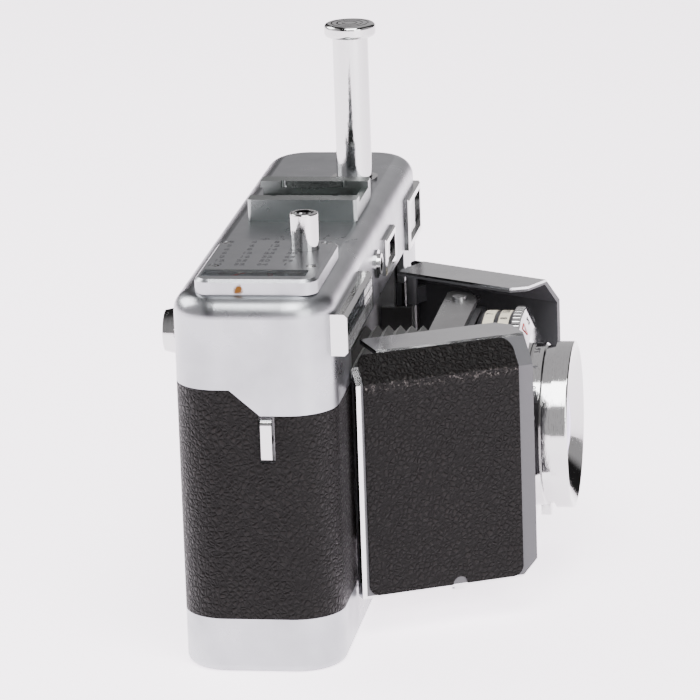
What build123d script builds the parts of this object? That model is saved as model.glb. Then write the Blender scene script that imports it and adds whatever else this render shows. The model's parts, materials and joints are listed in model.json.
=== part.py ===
from build123d import *
import os

# Folding 35 mm camera with a built-in selenium exposure meter.
# Millimetres. +Z up, +X along the width, the lens looks towards -Y.
# The origin is the mouth of the tripod socket, in the middle of the base.

# ---- driving dimensions -------------------------------------------------
WIDTH = 131.0
DEPTH = 32.4
CORNER = 9.5
HEIGHT = 77.0            # base to the top deck
BASE_H = 11.3            # bright base band
STEP_REAR = 58.5         # lower edge of the top housing, rear part
STEP_FRONT = 53.3        # lower edge of the top housing, front part
STEP_Y = (4.2, -1.8)     # the slanted step between the two
SEAM = 0.15              # gap under the top housing
SKIN = 0.6               # leather thickness on the body
SHELL_WALL = 1.2
HOUSING_WALL = 1.5
TRAY_WALL = 1.3
TRAY_FLOOR = 1.6
CHASSIS_GAP = 0.2        # chassis to back cover, each side
CHASSIS_Z = (4.6, 60.0)
FRONT_GAP_X = 36.6       # half-width of the front opening in the back cover
DECK = HEIGHT - HOUSING_WALL

LENS_Z = 33.3
GATE_Y = 10.0            # front face of the film gate plate
GATE_T = 1.0
CHAMBER_X = 25.8         # half-width of the lens chamber

DOOR_HINGE = (38.3, -17.9)
DOOR_TOE = 28.0          # doors converge this much from straight ahead, degrees
DOOR_ALONG = (-2.6, 35.5)    # extent along the door, from the hinge axis
DOOR_FACE = -4.5         # outer face, measured from the hinge axis
DOOR_RIM = 10.2          # inner edge of the top and bottom rims
DOOR_Z = (8.5, 58.9)
DOOR_BEVEL_Z = 53.4      # the outer face leans inwards above this
DOOR_LEAN = 5.0
DOOR_WALL = 1.0
DOOR_NUB = 18.5          # catch under the door
KNUCKLE_R = 1.3
PIN_R = 0.6
FIXED_KNUCKLES = ((19.2, 26.0), (42.0, 48.8))
DOOR_KNUCKLES = ((9.6, 19.1), (48.9, 56.0))

BOARD_Y = (-36.4, -34.4)
BOARD_HX = 21.0
BRIDGE_X = 21.5
BRIDGE_Y = (-35.0, -28.1)
RIVET = (14.8, -31.3)
SHUTTER_Y = (-44.8, -37.2)
SHUTTER_R = 23.6
SPEED_Y = (-48.4, -46.8, -44.9)  # nose, start of the knurl, back
SPEED_R = (20.2, 24.6)
APERTURE_Y = (-53.4, -51.5, -48.5)   # front, step, back
BARREL_R = 17.0
RIM_Y = (-57.0, -53.5)
RIM_R = 17.45
TUBE_R = 12.5

PLATE_X = (-61.6, -29.0)     # exposure meter plate
PLATE_Y = (-13.2, 11.4)
PLATE_H = 3.1
NEEDLE_PIVOT = (-42.0, -0.9)
NEEDLE_LEN = 15.0
NEEDLE_REST = 33.0           # degrees from the -X direction, towards +Y
WINDOW_X = (-58.3, -53.4)
WINDOW_Y = (-10.7, 10.3)
CELL_FRAME_X = (-59.6, -25.0)    # bezel of the selenium cell window
CELL_FRAME_Z = (64.2, 72.6)
CELL_FRAME_OUT = 2.7
CELL_X = (-58.4, -25.7)
CELL_Z = (65.1, 71.7)

RELEASE = (-36.3, -7.2)
RELEASE_R = 2.81
RELEASE_TOP = 87.6
PLUNGER = (37.2, -6.3)
PLUNGER_R = 3.8
PLUNGER_CAP_R = 5.5
PLUNGER_CAP_Z = (108.3, 111.1)
PLUNGER_FOOT = 61.0
SHOE_X = 9.0
SHOE_Y = (-12.5, 10.5)
SHOE_OUT = 20.8
SHOE_IN = 18.6
FINDER_X = (41.8, 60.0)      # viewfinder frame
FINDER_Z = (59.8, 71.1)
RANGE_X = (7.3, 20.8)        # rangefinder frame
RANGE_Z = (63.1, 70.9)
WINDOW_OUT = 1.1
FINDER_BORDER = 1.5
RANGE_BORDER = 1.4
TUBE_BORE_X = (44.4, 57.0)
TUBE_BORE_Z = (61.5, 69.5)
EYEPIECE = (50.7, 65.5)
SYNC = (-1.5, 68.0)
WHEEL = (-40.0, 63.9)
CASSETTE = (-49.5, 1.0)
SPOOL_KEY = (49.5, 1.0)      # lock key of the back cover
KNOB_POCKET_R = 8.0
COUNTER = (24.0, -3.0)
HOUSING_POSTS = ((-22.0, 9.5), (27.0, 9.5), (-57.5, 9.0))
SPOOL = (49.6, 2.6)
SPOOL_R = 5.6
SPROCKET = (31.6, 6.6)
LUG_Y = -3.1
GALVO_Z = (60.0, 72.6)
PLATE_SCREWS = ((-50.2, 8.9), (-50.2, -10.7), (-31.6, 9.4), (-31.6, -10.9))
SHOE_SCREWS = ((2.6, 5.5), (15.4, 5.5), (2.6, -7.5), (15.4, -7.5))
FIT = 0.07                   # radial running clearance of shafts

PARTS = "parts"


# ---- helpers ------------------------------------------------------------
def box(x0, x1, y0, y1, z0, z1):
    size = (x1 - x0, y1 - y0, z1 - z0)
    return Pos((x0 + x1) / 2, (y0 + y1) / 2, (z0 + z1) / 2) * Box(*size)


def cyl_z(x, y, r, z0, z1):
    return Pos(x, y, (z0 + z1) / 2) * Cylinder(r, z1 - z0)


def cyl_y(x, z, r, y0, y1):
    return Pos(x, (y0 + y1) / 2, z) * Rot(90, 0, 0) * Cylinder(r, y1 - y0)


def cyl_x(y, z, r, x0, x1):
    return Pos((x0 + x1) / 2, y, z) * Rot(0, 90, 0) * Cylinder(r, x1 - x0)


def cone_y(x, z, r_front, r_back, y_front, y_back):
    """Cone along Y; y_front is the lower Y."""
    where = Pos(x, (y_front + y_back) / 2, z) * Rot(-90, 0, 0)
    return where * Cone(r_front, r_back, y_back - y_front)


def slab(width, depth, radius, z0, z1, x=0.0, y=0.0):
    """Rounded-rectangle prism."""
    outline = RectangleRounded(width, depth, radius)
    return Pos(x, y, z0) * extrude(outline, z1 - z0)


def prism_x(points, x0, x1):
    """Polygon in the YZ plane, extruded along X."""
    face = Plane.YZ * make_face(Polyline(*points, close=True))
    return Pos(x0, 0, 0) * extrude(face, x1 - x0)


def prism_y(points, y0, y1):
    """Polygon in the XZ plane, extruded along Y from y0 up to y1."""
    face = Plane.XZ * make_face(Polyline(*points, close=True))
    return Pos(0, y1, 0) * extrude(face, y1 - y0)


def ridged_disc(radius, depth, height, count):
    """Disc along Z with round-bottomed notches in its rim."""
    body = Cylinder(radius, height)
    notch = Cylinder(depth, height + 1)
    notches = [Rot(0, 0, 360 * i / count) * Pos(radius, 0, 0) * notch for i in range(count)]
    return body - notches


def mirror_x(shape):
    return mirror(shape, Plane.YZ)


def save(name, shape):
    solids = shape.solids()
    keep = solids[0] if len(solids) == 1 else Compound(children=list(solids))
    export_step(keep, os.path.join(PARTS, name + ".step"))


# ---- back cover: drops off downwards for loading ------------------------
def above_step(shift):
    """Everything above the stepped lower edge of the housing."""
    far = WIDTH
    points = [(far, STEP_REAR + shift), (STEP_Y[0], STEP_REAR + shift),
              (STEP_Y[1], STEP_FRONT + shift), (-far, STEP_FRONT + shift),
              (-far, 2 * HEIGHT), (far, 2 * HEIGHT)]
    return prism_x(points, -WIDTH, WIDTH)


def cover_band(inset, wall):
    """Upright wall of the back cover: back and both ends, open in front."""
    outer = slab(WIDTH - 2 * inset, DEPTH - 2 * inset, CORNER - inset, BASE_H, STEP_REAR)
    hole = inset + wall
    inner = slab(WIDTH - 2 * hole, DEPTH - 2 * hole, CORNER - hole, BASE_H - 1, STEP_REAR + 1)
    edge = DOOR_HINGE[0] + 0.3
    front = box(-edge, edge, -DEPTH, -8, BASE_H - 1, STEP_REAR + 1)
    lug_slots = []
    for side in (-1, 1):
        x0, x1 = sorted((side * 61.0, side * 67.0))
        lug_slots.append(box(x0, x1, LUG_Y - 1.55, LUG_Y + 1.55, 43.7, STEP_REAR + 1))
    return outer - inner - front - above_step(0) - lug_slots


def back_shell():
    return cover_band(SKIN, SHELL_WALL)


def body_leather():
    return cover_band(0, SKIN)


def base_tray():
    outer = slab(WIDTH, DEPTH, CORNER, 0, BASE_H)
    outer = fillet(outer.faces().sort_by(Axis.Z)[0].edges(), 1.6)
    inner = slab(WIDTH - 2 * TRAY_WALL, DEPTH - 2 * TRAY_WALL, CORNER - TRAY_WALL,
                 TRAY_FLOOR, BASE_H + 1)
    tray = outer - inner
    ledge = slab(WIDTH - 2 * TRAY_WALL, DEPTH - 2 * TRAY_WALL, CORNER - TRAY_WALL,
                 BASE_H - 0.8, BASE_H)
    hole = SKIN + SHELL_WALL
    ledge -= slab(WIDTH - 2 * hole, DEPTH - 2 * hole, CORNER - hole, 0, BASE_H + 1)
    tray += ledge
    tray -= box(-FRONT_GAP_X, FRONT_GAP_X, -DEPTH, -8, 6.9, BASE_H + 1)
    for x, y in (CASSETTE, SPOOL_KEY):
        tray += cyl_z(x, y, KNOB_POCKET_R + 1.0, TRAY_FLOOR, 3.8)
        tray -= cyl_z(x, y, KNOB_POCKET_R, -1, 2.8)
        tray -= cyl_z(x, y, 2.0 + FIT, 0, 5)
    tray -= cyl_z(0, 0, 4.8, -1, 5)
    tray -= cyl_z(*COUNTER, 5.0, -1, 0.9)
    tray -= cyl_z(*COUNTER, 1.0 + FIT, 0, 5)
    return tray


def tripod_bush():
    bush = cyl_z(0, 0, 4.8, 0, TRAY_FLOOR) + cyl_z(0, 0, 6.4, TRAY_FLOOR, 2.8)
    bush += cyl_z(0, 0, 4.8, 2.8, 6.0)
    bush -= cyl_z(0, 0, 2.55, -1, 5.4)
    rim = chamfer_cone(0, 0, 2.55, 3.15, 0.6)
    return bush - rim


def chamfer_cone(x, y, r_in, r_out, depth):
    return Pos(x, y, depth / 2) * Cone(r_out, r_in, depth)


def rewind_knob():
    """Flat knob in its pocket, with a grip bar across a dished face."""
    x, y = CASSETTE
    disc = Pos(x, y, 1.5) * ridged_disc(7.4, 0.35, 2.2, 36)
    disc -= cyl_z(x, y, 5.6, 0, 1.3)
    return disc + box(x - 5.7, x + 5.7, y - 1.0, y + 1.0, 0.45, 1.35)


def rewind_shaft():
    x, y = CASSETTE
    shaft = cyl_z(x, y, 2.0, 2.6, 9.0)
    shaft += cyl_z(x, y, 1.6, 9.0, 15.0)
    fork = box(x - 1.7, x + 1.7, y - 0.6, y + 0.6, 12.5, 15.5)
    return shaft - fork


def lock_key():
    """Turn-key that holds the back cover on the body."""
    x, y = SPOOL_KEY
    disc = cyl_z(x, y, 7.6, 0.9, 2.6)
    bar = box(x - 6.6, x + 6.6, y - 0.9, y + 0.9, 0.3, 0.9)
    shaft = cyl_z(x, y, 2.0, 2.6, 4.3)
    return disc + bar + shaft


def counter_dial():
    x, y = COUNTER
    dial = cyl_z(x, y, 4.9, 0.15, 0.85)
    return dial + cyl_z(x, y, 1.0, 0.85, 2.4)


def pressure_plate():
    back = DEPTH / 2 - SKIN - SHELL_WALL
    plate = box(-27, 27, 12.1, 12.9, LENS_Z - 17, LENS_Z + 17)
    plate = fillet(plate.edges().filter_by(Axis.Y), 2.0)
    springs = box(-16, -10, 12.9, back, LENS_Z - 12, LENS_Z + 12)
    return plate + springs + mirror_x(springs)


# ---- chassis ------------------------------------------------------------
def chassis_size():
    inset = SKIN + SHELL_WALL + CHASSIS_GAP
    return WIDTH - 2 * inset, DEPTH - 2 * inset, CORNER - inset


def chassis_frame():
    width, depth, radius = chassis_size()
    back = depth / 2
    body = slab(width, depth, radius, *CHASSIS_Z)
    body -= box(-CHAMBER_X, CHAMBER_X, -depth, 3.6, 7.4, 59.0)
    body -= box(-36.2, 36.2, -depth, -7.0, 7.4, 59.4)
    body -= box(-21.8, 21.8, 3.5, GATE_Y, 11.2, 57.2)
    body -= box(-18.0, 18.0, GATE_Y - 1, depth, LENS_Z - 12, LENS_Z + 12)
    body -= box(-27.5, 27.5, GATE_Y + GATE_T, depth, 12.5, 56)
    body -= box(-36.8, 36.8, GATE_Y + GATE_T + 0.6, depth, 12.5, 56)
    cassette = box(-61.0, -37.2, CASSETTE[1] - 11.8, depth, 12.5, 56)
    takeup = box(39.6, 60.4, -8.4, depth, 12.5, 56)
    sprocket = box(27.2, 39.7, 1.6, depth, 12.5, 56)
    body -= [cassette, takeup, sprocket]
    body -= cyl_z(*CASSETTE, 2.6, 0, 13)
    body -= cyl_z(*CASSETTE, 9.4, 0, 5.2)
    body -= cyl_z(*SPOOL_KEY, 9.4, 0, 5.6)
    body -= cyl_z(0, 0, 6.8, 0, 6.4)
    body -= cyl_z(*COUNTER, 2.0, 0, 5.2)
    body += cyl_z(*PLUNGER, PLUNGER_R + 1.1, 24.0, CHASSIS_Z[1])
    body -= cyl_z(*PLUNGER, PLUNGER_R + FIT, 27.5, 61)
    body -= box(-27.5, 27.5, GATE_Y + GATE_T + 0.9, depth, 0, 13)
    for x, y in (SPOOL, SPROCKET):
        body -= cyl_z(x, y, 1.5 + FIT, 10.0, 58.5)
    body += [cyl_z(x, y, 2.4, CHASSIS_Z[1], DECK) for x, y in HOUSING_POSTS]
    return body


def hinge_brackets():
    """Fixed knuckles of the door hinges, on arms from the chassis."""
    x, y = DOOR_HINGE
    pieces = None
    for z0, z1 in FIXED_KNUCKLES:
        knuckle = cyl_z(-x, y, KNUCKLE_R, z0, z1)
        arm = box(-x, -35.1, y - 0.2, y + 0.9, z0, z1)
        piece = knuckle + arm
        pieces = piece if pieces is None else pieces + piece
    pieces += box(-36.2, -35.1, y - 0.2, -11.6, FIXED_KNUCKLES[0][0], FIXED_KNUCKLES[-1][1])
    pieces -= cyl_z(-x, y, PIN_R, 0, HEIGHT)
    return both_sides(pieces)


def film_gate():
    y = GATE_Y + GATE_T
    plate = box(-26.0, 26.0, y, y + 0.5, LENS_Z - 19.0, LENS_Z + 19.0)
    plate -= box(-18.0, 18.0, 0, DEPTH, LENS_Z - 12, LENS_Z + 12)
    for z in (LENS_Z - 18.4, LENS_Z + 17.4):
        plate += box(-26.0, 26.0, y + 0.5, y + 0.9, z, z + 1.0)
    return plate


def takeup_spool():
    x, y = SPOOL
    spool = cyl_z(x, y, SPOOL_R, 13.0, 55.5)
    for angle in (0, 120, 240):
        slot = Rot(0, 0, angle) * Pos(SPOOL_R, 0, 34) * Box(4.0, 1.2, 30)
        spool -= Pos(x, y, 0) * slot
    return spool + cyl_z(x, y, 1.5, 10.2, 13.0) + cyl_z(x, y, 1.5, 55.5, 58.2)


def sprocket_shaft():
    x, y = SPROCKET
    shaft = cyl_z(x, y, 2.6, 13.0, 55.5)
    for z in (LENS_Z - 14.0, LENS_Z + 14.0):
        shaft += cyl_z(x, y, 3.5, z - 2.0, z + 2.0)
        for i in range(8):
            tooth = Rot(0, 0, 45 * i) * Pos(3.6, 0, z) * Box(1.1, 0.8, 1.4)
            shaft += Pos(x, y, 0) * tooth
    return shaft + cyl_z(x, y, 1.5, 10.2, 13.0) + cyl_z(x, y, 1.5, 55.5, 58.2)


def strap_lugs():
    lug = box(-66.7, -63.3, LUG_Y - 1.1, LUG_Y + 1.1, 44.3, 52.9)
    width = chassis_size()[0]
    lug -= box(-width / 2, 0, -DEPTH, DEPTH, 0, HEIGHT)
    lug = fillet(lug.edges().filter_by(Axis.Y).sort_by(Axis.X)[:2], 1.2)
    lug -= cyl_y(-65.3, 48.6, 0.9, -DEPTH, DEPTH)
    return both_sides(lug)


# ---- top housing --------------------------------------------------------
def top_housing():
    outer = slab(WIDTH, DEPTH, CORNER, 40, HEIGHT)
    top_edges = outer.faces().sort_by(Axis.Z)[-1].edges()
    outer = fillet(top_edges, 4.0)
    wall = HOUSING_WALL
    inner = slab(WIDTH - 2 * wall, DEPTH - 2 * wall, CORNER - wall, 0, DECK)
    inner = fillet(inner.faces().sort_by(Axis.Z)[-1].edges(), 2.6)
    shell = (outer - inner) & above_step(SEAM)
    edge = DOOR_HINGE[0] + 0.3
    shell -= box(-edge, edge, -DEPTH, -8, 0, CHASSIS_Z[1] + 0.3)
    shell -= box(CELL_X[0] - 0.1, CELL_X[1] + 0.1, -DEPTH, -10, CELL_Z[0] - 0.1, CELL_Z[1] + 0.1)
    shell -= inside_frame(FINDER_X, FINDER_Z, FINDER_BORDER)
    shell -= inside_frame(RANGE_X, RANGE_Z, RANGE_BORDER)
    shell -= cyl_y(*SYNC, 2.2, -DEPTH, -10)
    shell -= cyl_y(WHEEL[0], WHEEL[1], 1.5 + FIT, 10, DEPTH)
    shell -= cyl_y(EYEPIECE[0], EYEPIECE[1], 4.0, 10, DEPTH)
    shell -= cyl_z(*PLUNGER, PLUNGER_R + 1.2, 70, 90)
    shell -= cyl_z(*RELEASE, RELEASE_R + FIT, 70, 90)
    shell -= needle_fan(70, 90)
    shell -= cyl_z(NEEDLE_PIVOT[0], NEEDLE_PIVOT[1], 2.6, 70, 90)
    for x, y in PLATE_SCREWS:
        shell -= cyl_z(x, y, 0.6, 70, 90)
    for x, y in SHOE_SCREWS:
        shell -= cyl_z(x, y, 0.6, 70, 90)
    return shell


def needle_fan(z0, z1):
    """Trapezium that the needle sweeps in, between the window and its pivot."""
    y = NEEDLE_PIVOT[1]
    points = [(-39.4, y - 2.6), (-39.4, y + 2.6), (-59.3, y + 11.0), (-59.3, y - 11.0)]
    face = make_face(Polyline(*points, close=True))
    return Pos(0, 0, z0) * extrude(face, z1 - z0)


def meter_plate():
    length = PLATE_X[1] - PLATE_X[0]
    depth = PLATE_Y[1] - PLATE_Y[0]
    x = sum(PLATE_X) / 2
    y = sum(PLATE_Y) / 2
    plate = slab(length, depth, 3.2, HEIGHT, HEIGHT + PLATE_H, x, y)
    plate = chamfer(plate.faces().sort_by(Axis.Z)[-1].edges(), 0.6)
    plate -= needle_fan(HEIGHT - 1, HEIGHT + 2.0)
    plate -= box(*WINDOW_X, *WINDOW_Y, HEIGHT + 1, HEIGHT + 4)
    plate -= box(WINDOW_X[0] - 0.5, WINDOW_X[1] + 0.5, WINDOW_Y[0] - 0.4, WINDOW_Y[1] + 0.4,
                 HEIGHT + 1.9, HEIGHT + 2.5)
    plate -= cyl_z(*RELEASE, RELEASE_R + FIT, 70, 90)
    for px, py in PLATE_SCREWS:
        plate -= cyl_z(px, py, 0.6, 70, 90)
        plate -= cyl_z(px, py, 1.15, HEIGHT + PLATE_H - 0.55, 90)
    return plate


def screw_group(places, top, head_r, head_h, tail):
    """Slotted cheese-head screws, heads flush with 'top'."""
    screws = []
    for index, (x, y) in enumerate(places):
        screw = cyl_z(x, y, head_r, top - head_h, top) + cyl_z(x, y, 0.55, top - head_h - tail, top)
        slot = Rot(0, 0, 35 + 50 * index) * Box(3 * head_r, 0.3, 0.5)
        screws.append(screw - Pos(x, y, top) * slot)
    return Compound(children=screws)


def meter_window_glass():
    return box(WINDOW_X[0] - 0.45, WINDOW_X[1] + 0.45, WINDOW_Y[0] - 0.35, WINDOW_Y[1] + 0.35,
               HEIGHT + 1.95, HEIGHT + 2.45)


def meter_scale_card():
    y = NEEDLE_PIVOT[1]
    card = box(-58.9, -50.5, y - 10.2, y + 10.2, HEIGHT - 1.1, HEIGHT - 0.7)
    fan = needle_fan(HEIGHT - 2, HEIGHT)
    post = box(-58.0, -56.0, y - 1.5, y + 1.5, GALVO_Z[0] + 1.5, HEIGHT - 1.1)
    foot = box(-58.0, NEEDLE_PIVOT[0] - 5.0, y - 1.5, y + 1.5, GALVO_Z[0], GALVO_Z[0] + 1.5)
    return (card & fan) + post + foot


def galvanometer():
    """Magnet ring and yoke of the meter movement, standing on the chassis."""
    x, y = NEEDLE_PIVOT
    ring = cyl_z(x, y, 5.0, *GALVO_Z) - cyl_z(x, y, 3.6, GALVO_Z[0] + 1.2, GALVO_Z[1] + 1)
    core = cyl_z(x, y, 2.2, GALVO_Z[0] + 1.2, GALVO_Z[1] - 0.8) - cyl_z(x, y, 0.5 + FIT, 65, 80)
    return ring + core


def meter_needle():
    x, y = NEEDLE_PIVOT
    shaft = cyl_z(x, y, 0.5, 66.0, HEIGHT + 1.0)
    needle = box(-NEEDLE_LEN, 2.3, -0.2, 0.2, HEIGHT + 0.7, HEIGHT + 1.0)
    weight = box(1.2, 2.3, -0.7, 0.7, HEIGHT + 0.4, HEIGHT + 1.0)
    hub = Cylinder(1.0, 0.8)
    swing = Rot(0, 0, -NEEDLE_REST)
    return shaft + Pos(x, y, 0) * swing * (needle + weight + Pos(0, 0, HEIGHT + 0.6) * hub)


def housing_block():
    """Outside shape of the top housing before it is hollowed."""
    return slab(WIDTH, DEPTH, CORNER, 40, HEIGHT)


def meter_window_frame():
    """Bezel of the cell window; its near end wraps the rounded corner."""
    front = -DEPTH / 2
    frame = box(*CELL_FRAME_X, front - CELL_FRAME_OUT, front + 1.0, *CELL_FRAME_Z)
    frame = chamfer(frame.faces().sort_by(Axis.Y)[0].edges().filter_by(Axis.X), 0.7)
    frame -= housing_block()
    return frame - box(*CELL_X, -DEPTH, 0, *CELL_Z)


def meter_honeycomb_glass():
    """Moulded light-collecting window: a grid of small lenslets."""
    front = -DEPTH / 2
    pane = box(CELL_X[0], CELL_X[1], front - 1.9, front + 0.6, *CELL_Z)
    columns = 17
    rows = 4
    pitch_x = (CELL_X[1] - CELL_X[0]) / columns
    pitch_z = (CELL_Z[1] - CELL_Z[0]) / rows
    grooves = []
    for i in range(1, columns):
        x = CELL_X[0] + i * pitch_x
        grooves.append(box(x - 0.15, x + 0.15, front - 3, front - 1.4, *CELL_Z))
    for j in range(1, rows):
        z = CELL_Z[0] + j * pitch_z
        grooves.append(box(*CELL_X, front - 3, front - 1.4, z - 0.15, z + 0.15))
    return pane - grooves


def selenium_cell():
    front = -DEPTH / 2
    cell = box(CELL_X[0] + 1.0, CELL_X[1] + 1.0, front + 1.9, front + 2.9, CELL_Z[0] - 1.2, CELL_Z[1] + 1.2)
    strips = []
    for x in (CELL_X[0] + 3, CELL_X[1] - 5):
        strips.append(box(x, x + 2, front + 2.9, front + 3.2, CHASSIS_Z[1], CELL_Z[1]))
    return cell + strips


# ---- release button -----------------------------------------------------
def release_button():
    x, y = RELEASE
    button = cyl_z(x, y, RELEASE_R, 74.4, RELEASE_TOP)
    button = fillet(button.faces().sort_by(Axis.Z)[-1].edges(), 0.35)
    button -= cyl_z(x, y, 2.0, RELEASE_TOP - 0.7, 90)
    button += cyl_z(x, y, 3.5, 73.4, 74.4) + cyl_z(x, y, 1.8, 63.6, 73.4)
    return button - cyl_z(x, y, 1.5, RELEASE_TOP - 7.0, 90)


def release_spring():
    return cyl_z(*RELEASE, 3.0, CHASSIS_Z[1], 73.4) - cyl_z(*RELEASE, 2.1, 50, 90)


# ---- film-advance plunger -----------------------------------------------
def plunger_rod():
    x, y = PLUNGER
    rod = cyl_z(x, y, PLUNGER_R, PLUNGER_FOOT, PLUNGER_CAP_Z[0])
    rack = box(x - 1.0, x + 1.0, y + 3.2, y + 4.2, PLUNGER_FOOT, 95.0)
    return rod - rack


def plunger_cap():
    x, y = PLUNGER
    z0, z1 = PLUNGER_CAP_Z
    cap = cyl_z(x, y, PLUNGER_CAP_R, z0, z1)
    cap = fillet(cap.faces().sort_by(Axis.Z)[-1].edges(), 0.8)
    cap = fillet(cap.faces().sort_by(Axis.Z)[0].edges(), 0.8)
    for radius in (4.1, 2.9, 1.7):
        groove = cyl_z(x, y, radius, z1 - 0.25, z1 + 1) - cyl_z(x, y, radius - 0.35, z1 - 1, z1 + 2)
        cap -= groove
    return cap


def plunger_guide():
    """Collar in the top deck that the rod runs in."""
    x, y = PLUNGER
    guide = cyl_z(x, y, PLUNGER_R + 1.2, DECK - 3.0, HEIGHT + 0.5)
    guide = guide - cyl_z(x, y, PLUNGER_R + FIT, 60, 90)
    return guide


# ---- accessory shoe -----------------------------------------------------
def accessory_shoe():
    half = SHOE_OUT / 2
    inner = SHOE_IN / 2
    y0, y1 = SHOE_Y
    shoe = box(SHOE_X - half, SHOE_X + half, y0, y1, HEIGHT, HEIGHT + 4.6)
    shoe = fillet(shoe.edges().filter_by(Axis.Z), 0.8)
    shoe -= box(SHOE_X - inner, SHOE_X + inner, y0 + 1.4, y1 + 1, HEIGHT + 0.9, HEIGHT + 3.2)
    shoe -= box(SHOE_X - 6.3, SHOE_X + 6.3, y0 + 1.4, y1 + 1, HEIGHT + 0.9, HEIGHT + 6)
    shoe -= box(SHOE_X - 6.3, SHOE_X + 6.3, y0 - 1, y0 + 2, HEIGHT + 3.2, HEIGHT + 6)
    for x, y in SHOE_SCREWS:
        shoe -= cyl_z(x, y, 0.6, 70, 90)
    return shoe


def shoe_spring():
    """Leaf spring on the floor of the shoe, held under the rails."""
    z = HEIGHT + 0.9
    leaf = box(SHOE_X - 3.5, SHOE_X + 3.5, SHOE_Y[0] + 3, SHOE_Y[1] - 1.5, z, z + 0.25)
    return leaf


# ---- finder -------------------------------------------------------------
def inside_frame(xs, zs, border):
    """The clear opening of a front window."""
    return box(xs[0] + border, xs[1] - border, -DEPTH, -10, zs[0] + border, zs[1] - border)


def window_frame(xs, zs, border):
    front = -DEPTH / 2
    frame = box(*xs, front - WINDOW_OUT, front + 3.0, *zs)
    frame = chamfer(frame.faces().sort_by(Axis.Y)[0].edges(), 0.35)
    return frame - housing_block() - inside_frame(xs, zs, border)


def window_pane(xs, zs, border):
    front = -DEPTH / 2
    return inside_frame(xs, zs, border) & box(*xs, front - 0.5, front + 1.0, *zs)


def finder_tube():
    """Viewfinder box from the front window to the eyepiece."""
    tube = box(TUBE_BORE_X[0] - 1.3, TUBE_BORE_X[1] + 1.3, -12.6, 12.9, CHASSIS_Z[1], 71.0)
    return tube - box(*TUBE_BORE_X, -20, 20, *TUBE_BORE_Z)


def finder_mirrors():
    """Half-mirror in the viewfinder path and the mirror behind the small window."""
    y = 4.0
    mid_z = sum(TUBE_BORE_Z) / 2
    half_mirror = Pos(EYEPIECE[0], y, mid_z) * Rot(0, 0, 45) * Box(0.8, 30, 20)
    half_mirror &= box(*TUBE_BORE_X, y - 5, y + 5, *TUBE_BORE_Z)
    foot = box(8.6, 19.6, y - 2.0, y + 2.0, CHASSIS_Z[1], 62.0)
    side_mirror = foot + Pos(14.0, y, 66.2) * Rot(0, 0, 45) * Box(0.8, 9.0, 8.6)
    return Compound(children=[half_mirror.solids()[0], side_mirror.solids()[0]])


def eyepiece():
    x, z = EYEPIECE
    back = DEPTH / 2
    ring = cyl_y(x, z, 5.6, back, back + 1.6) + cyl_y(x, z, 4.0, back - 3.2, back)
    ring -= cyl_y(x, z, 3.0, 0, DEPTH)
    return ring - cone_y(x, z, 3.0, 4.6, back + 0.4, back + 2.0)


def eyepiece_lens():
    x, z = EYEPIECE
    back = DEPTH / 2
    return cyl_y(x, z, 3.0, back - 2.2, back - 0.4)


def sync_socket():
    """Flash contact: outer sleeve and insulated centre."""
    x, z = SYNC
    front = -DEPTH / 2
    sleeve = cyl_y(x, z, 2.2, front - 1.2, front + 4.2) + cyl_y(x, z, 3.0, front - 0.5, front)
    sleeve -= cyl_y(x, z, 1.5, -DEPTH, front + 3.4)
    return sleeve + cyl_y(x, z, 0.45, front - 0.4, front + 3.4)


# ---- focusing wheel -----------------------------------------------------
def focus_wheel():
    x, z = WHEEL
    back = DEPTH / 2
    wheel = cone_y(x, z, 5.2, 4.2, back + 0.6, back + 5.0)
    for i in range(24):
        groove = Rot(0, 15 * i, 0) * Pos(5.1, back + 2.8, 0) * Rot(90, 0, 0) * Cylinder(0.38, 6)
        wheel -= Pos(x, 0, z) * groove
    shaft = cyl_y(x, z, 1.5, back - 4.0, back + 0.7)
    pinion = cyl_y(x, z, 2.6, back - 6.4, back - 4.0)
    return wheel + shaft + pinion


# ---- folding doors ------------------------------------------------------
def place_door(shape, side):
    """Door frame (X along the door, Y inwards, hinge at the origin) to the open rest pose."""
    placed = Pos(-DOOR_HINGE[0], DOOR_HINGE[1], 0) * Rot(0, 0, DOOR_TOE - 90) * shape
    return placed if side < 0 else mirror_x(placed)


def door_profile(inset, back):
    """Cross-section of the tray in YZ, shrunk by inset and reaching back to 'back'."""
    z0, z1 = DOOR_Z
    face = DOOR_FACE + inset
    top = DOOR_FACE + DOOR_LEAN + 0.4 * inset
    return [(face, z0 + inset), (face, DOOR_BEVEL_Z - 0.4 * inset), (top, z1 - inset),
            (back, z1 - inset), (back, z0 + inset)]


def rounded_end():
    """Plan of the tray: the rims round off towards the free edge."""
    a, b = DOOR_ALONG
    rim = DOOR_RIM
    plan = [(a, DOOR_FACE), (b, DOOR_FACE), (b, rim - 3.0), (b - 2.6, rim)]
    plan += [(3.6, rim), (3.6, 0.4), (a, -1.8)]
    face = make_face(Polyline(*plan, close=True))
    return extrude(face, HEIGHT)


def low_corner():
    """Chamfered lower corner at the free edge."""
    x1 = DOOR_ALONG[1]
    z0 = DOOR_Z[0]
    far = x1 + 5
    outline = [(x1 - 3.4, z0), (x1, z0 + 3.6), (far, z0 + 3.6), (far, z0 - 1), (x1 - 3.4, z0 - 1)]
    return prism_y(outline, -19, 19)


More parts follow.
